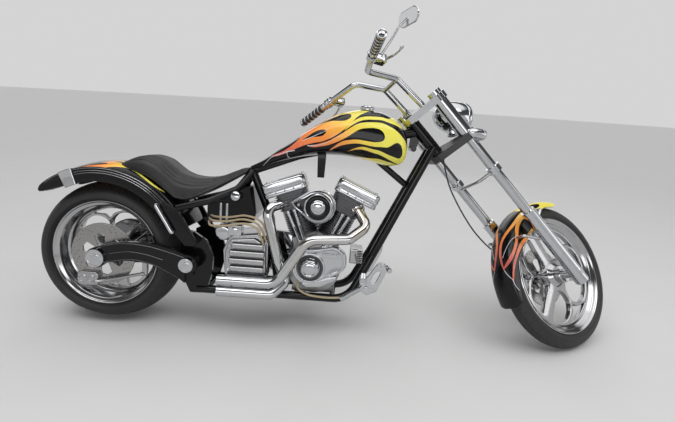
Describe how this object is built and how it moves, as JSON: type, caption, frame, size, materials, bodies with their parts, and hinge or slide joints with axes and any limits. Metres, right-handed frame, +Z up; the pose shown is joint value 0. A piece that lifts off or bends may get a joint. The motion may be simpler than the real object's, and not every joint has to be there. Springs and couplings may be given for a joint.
{
  "type": "chopper motorcycle",
  "caption": "Long raked motorcycle with a V engine, wide rear wheel, steered front wheel, belt drive and side stand.",
  "frame": {"origin": "on the floor under the middle of the parked machine's bounding box", "axes": "+X towards the front wheel, +Y to the rider's left, +Z up; the machine leans to +Y on its side stand with the front turned to its left stop"},
  "size_m": [2.8017, 0.6728, 1.4541],
  "materials": {
    "gloss_black": "polished black paint with a clear coat",
    "flame_paint": "polished black paint with flames under a clear coat",
    "chrome": "bright chrome",
    "polished_alloy": "polished aluminium",
    "cast_alloy": "fine cast aluminium",
    "satin_black": "satin black coat",
    "brake_steel": "ground steel",
    "tyre_rubber": "road tyre",
    "seat_leather": "smooth black leather",
    "belt_rubber": "toothed belt",
    "hose_braid": "braided hose",
    "black_hose": "black hose",
    "tail_lens": "red lens"
  },
  "bodies": {
    "frame": {"neck": "gloss_black", "backbone": "gloss_black", "downtubes": "gloss_black", "cradle": "gloss_black", "rear_frame": "gloss_black", "fender_struts": "gloss_black", "stay_rods": "chrome", "swingarm": "gloss_black", "pivot_shaft": "chrome", "rear_axle": "chrome", "rear_fender": "flame_paint", "tail_lamp": "tail_lens", "seat": "seat_leather", "fuel_tank": "flame_paint", "filler_cap": "chrome", "oil_tank": "gloss_black", "cylinders": "cast_alloy", "rocker_boxes": "chrome", "crankcase": "cast_alloy", "cam_cover": "chrome", "pushrod_tubes": "chrome", "air_cleaner": "chrome", "intake": "cast_alloy", "exhaust_pipes": "chrome", "gearbox": "polished_alloy", "starter": "chrome", "primary_case": "chrome", "drive_belt": "belt_rubber", "rear_caliper": "polished_alloy", "foot_controls": "chrome", "regulator": "polished_alloy", "oil_lines": "hose_braid"},
    "steering": {"fork_tubes": "chrome", "fork_sliders": "chrome", "top_tree": "chrome", "lower_tree": "satin_black", "fork_brace": "chrome", "front_axle": "chrome", "front_fender": "flame_paint", "front_caliper": "polished_alloy", "headlight": "chrome", "turn_signals": "chrome", "handlebar": "chrome", "grips": "chrome", "hand_controls": "polished_alloy", "mirror": "chrome", "brake_hose": "black_hose"},
    "front_wheel": {"front_wheel": "polished_alloy", "front_tyre": "tyre_rubber", "front_rotor": "brake_steel"},
    "rear_wheel": {"rear_wheel": "polished_alloy", "rear_tyre": "tyre_rubber", "rear_rotor": "brake_steel", "rear_pulley": "polished_alloy"},
    "side_stand": {"side_stand": "chrome"}
  },
  "joints": [
    {"name": "steering_turn", "type": "hinge", "parent": "frame", "child": "steering", "pos_m": [0.3753, 0.05408, 0.93728], "axis": [-0.6942, 0.069, 0.7165], "range_deg": [-76, 0]},
    {"name": "front_wheel_spin", "type": "hinge", "parent": "steering", "child": "front_wheel", "pos_m": [1.0845, 0.05215, 0.30705], "axis": [-0.4431, 0.7434, -0.5009], "continuous": true},
    {"name": "rear_wheel_spin", "type": "hinge", "parent": "frame", "child": "rear_wheel", "pos_m": [-1.06608, -0.0046, 0.32786], "axis": [0, 0.9954, -0.0958], "continuous": true},
    {"name": "side_stand_fold", "type": "hinge", "parent": "frame", "child": "side_stand", "pos_m": [-0.20942, 0.13266, 0.16743], "axis": [0.0053, 0.6849, 0.7286], "range_deg": [0, 92.93]}
  ]
}
